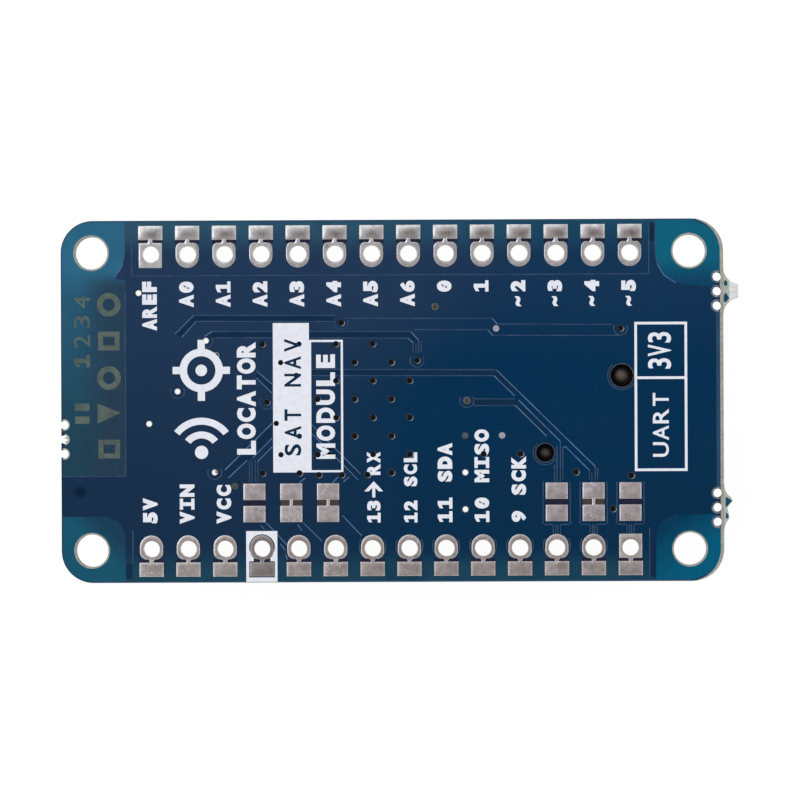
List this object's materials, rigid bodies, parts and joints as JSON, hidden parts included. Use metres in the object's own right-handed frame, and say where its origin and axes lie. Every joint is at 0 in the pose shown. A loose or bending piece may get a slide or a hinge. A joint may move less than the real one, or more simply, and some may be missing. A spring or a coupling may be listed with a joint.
{
  "type": "gps module",
  "caption": "Blue satellite positioning add-on board with header holes, a square patch antenna module, an empty coin-cell holder and a cable socket, lying solder side up.",
  "frame": {"origin": "middle of the header and mounting-hole patterns, on the solder face of the board", "axes": "+X along the header rows towards the cable socket, +Z out of the solder face"},
  "size_m": [0.0467, 0.025, 0.008],
  "materials": {
    "solder_mask_board": "glossy dark blue solder mask on glass-fibre laminate",
    "tin": "dull tinned copper",
    "via_plating": "tarnished plated copper",
    "carrier_laminate": "dark green laminate",
    "shield_steel": "tin-plated sheet",
    "antenna_ceramic": "unglazed fired ceramic",
    "silver": "fired silver coating",
    "black_plastic": "black moulded plastic",
    "spring_steel": "nickel-plated spring strip",
    "socket_plastic": "ivory moulded plastic",
    "gilt_contact": "gold-flashed contact",
    "moulded_epoxy": "black moulded epoxy",
    "capacitor_ceramic": "brown fired ceramic",
    "resistor_glaze": "black glazed film",
    "indicator_plastic": "white moulded plastic",
    "indicator_lens": "clear pale green epoxy"
  },
  "bodies": {
    "root": {"circuit_board": "solder_mask_board", "upper_header_pads": "tin", "lower_header_pads": "tin", "open_jumpers": "tin", "bridged_jumpers": "tin", "via_barrels": "via_plating", "component_lands": "tin", "module_carrier": "carrier_laminate", "module_solder_joints": "tin", "module_shield": "shield_steel", "antenna_ceramic": "antenna_ceramic", "antenna_electrode": "silver", "antenna_feed_pin": "tin", "cell_holder_body": "black_plastic", "cell_positive_contact": "spring_steel", "cell_negative_contact": "spring_steel", "socket_housing": "socket_plastic", "socket_pins": "gilt_contact", "socket_brackets": "tin", "regulator_body": "moulded_epoxy", "regulator_leads": "tin", "capacitor_bodies": "capacitor_ceramic", "capacitor_ends": "tin", "resistor_bodies": "resistor_glaze", "resistor_ends": "tin", "indicator_base": "indicator_plastic", "indicator_lens": "indicator_lens", "indicator_ends": "tin"}
  },
  "joints": []
}
